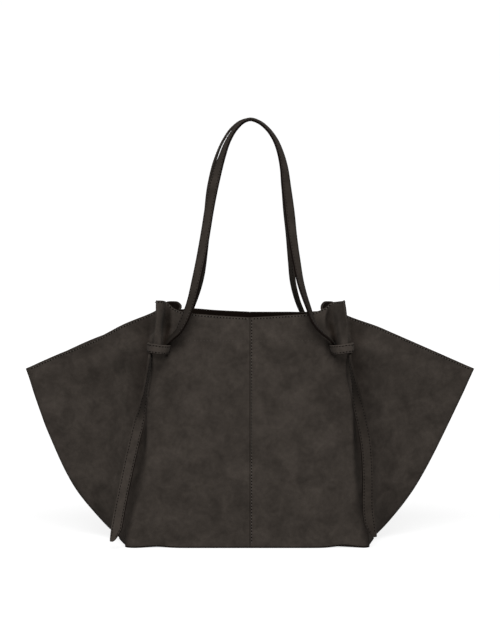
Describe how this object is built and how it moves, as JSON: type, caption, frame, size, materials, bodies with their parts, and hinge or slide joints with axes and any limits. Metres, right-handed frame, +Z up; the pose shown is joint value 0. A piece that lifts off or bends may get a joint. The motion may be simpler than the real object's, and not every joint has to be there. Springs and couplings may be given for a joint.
{
  "type": "shoulder bag",
  "caption": "Soft winged leather shoulder bag with two long strap handles knotted round pleats and free strap tails.",
  "frame": {"origin": "middle of the base, on the surface that the bag stands on", "axes": "+X along the width to the bag's right as seen from the front, -Y out of the front, +Z up"},
  "size_m": [0.5752, 0.17, 0.5403],
  "materials": {
    "nubuck": "soft dark brown nubuck with a cloudy nap",
    "strap_leather": "dark brown nubuck strap with painted edges",
    "facing_leather": "dark brown leather facing",
    "lining_cloth": "dark brown woven cotton",
    "zip_tape": "dark woven zip tape",
    "board": "plain stiffener board",
    "dark_metal": "dark plated metal"
  },
  "bodies": {
    "bag": {"front_panel_left": "nubuck", "front_knot_left": "strap_leather", "front_panel_right": "nubuck", "front_knot_right": "strap_leather", "front_facing": "facing_leather", "front_lining": "lining_cloth", "rear_panel_left": "nubuck", "rear_knot_left": "strap_leather", "rear_panel_right": "nubuck", "rear_knot_right": "strap_leather", "rear_facing": "facing_leather", "rear_lining": "lining_cloth", "base_panel": "nubuck", "base_board": "board", "base_lining": "lining_cloth", "pocket_back": "lining_cloth", "pocket_front": "lining_cloth", "zip_tape_upper": "zip_tape", "zip_tape_lower": "zip_tape", "zip_teeth_upper": "dark_metal", "zip_teeth_lower": "dark_metal", "zip_stop_left": "dark_metal", "zip_stop_right": "dark_metal", "magnet_socket": "dark_metal", "magnet_stud": "dark_metal"},
    "front_handle": {"front_handle": "strap_leather"},
    "rear_handle": {"rear_handle": "strap_leather"},
    "front_tail_left": {"front_tail_left": "strap_leather"},
    "front_tail_right": {"front_tail_right": "strap_leather"},
    "rear_tail_left": {"rear_tail_left": "strap_leather"},
    "rear_tail_right": {"rear_tail_right": "strap_leather"},
    "zip_slider": {"zip_slider": "dark_metal"},
    "zip_puller": {"zip_puller": "dark_metal"}
  },
  "joints": [
    {"name": "front_handle_swing", "type": "hinge", "parent": "bag", "child": "front_handle", "pos_m": [0, -0.0735, 0.262], "axis": [1, 0, 0], "range_deg": [0, 150]},
    {"name": "rear_handle_swing", "type": "hinge", "parent": "bag", "child": "rear_handle", "pos_m": [0, 0.0735, 0.262], "axis": [-1, 0, 0], "range_deg": [0, 150]},
    {"name": "front_tail_left_swing", "type": "hinge", "parent": "bag", "child": "front_tail_left", "pos_m": [-0.1239, -0.078, 0.2387], "axis": [-1, 0, 0], "range_deg": [0, 80]},
    {"name": "front_tail_right_swing", "type": "hinge", "parent": "bag", "child": "front_tail_right", "pos_m": [0.1239, -0.078, 0.2387], "axis": [-1, 0, 0], "range_deg": [0, 80]},
    {"name": "rear_tail_left_swing", "type": "hinge", "parent": "bag", "child": "rear_tail_left", "pos_m": [-0.1239, 0.078, 0.2387], "axis": [1, 0, 0], "range_deg": [0, 80]},
    {"name": "rear_tail_right_swing", "type": "hinge", "parent": "bag", "child": "rear_tail_right", "pos_m": [0.1239, 0.078, 0.2387], "axis": [1, 0, 0], "range_deg": [0, 80]},
    {"name": "zip_slide", "type": "slide", "parent": "bag", "child": "zip_slider", "axis": [-1, 0, 0], "range_m": [0, 0.148]},
    {"name": "zip_puller_swing", "type": "hinge", "parent": "zip_slider", "child": "zip_puller", "pos_m": [0.0744, -0.0506, 0.246], "axis": [0, 0, -1], "range_deg": [0, 180]}
  ]
}
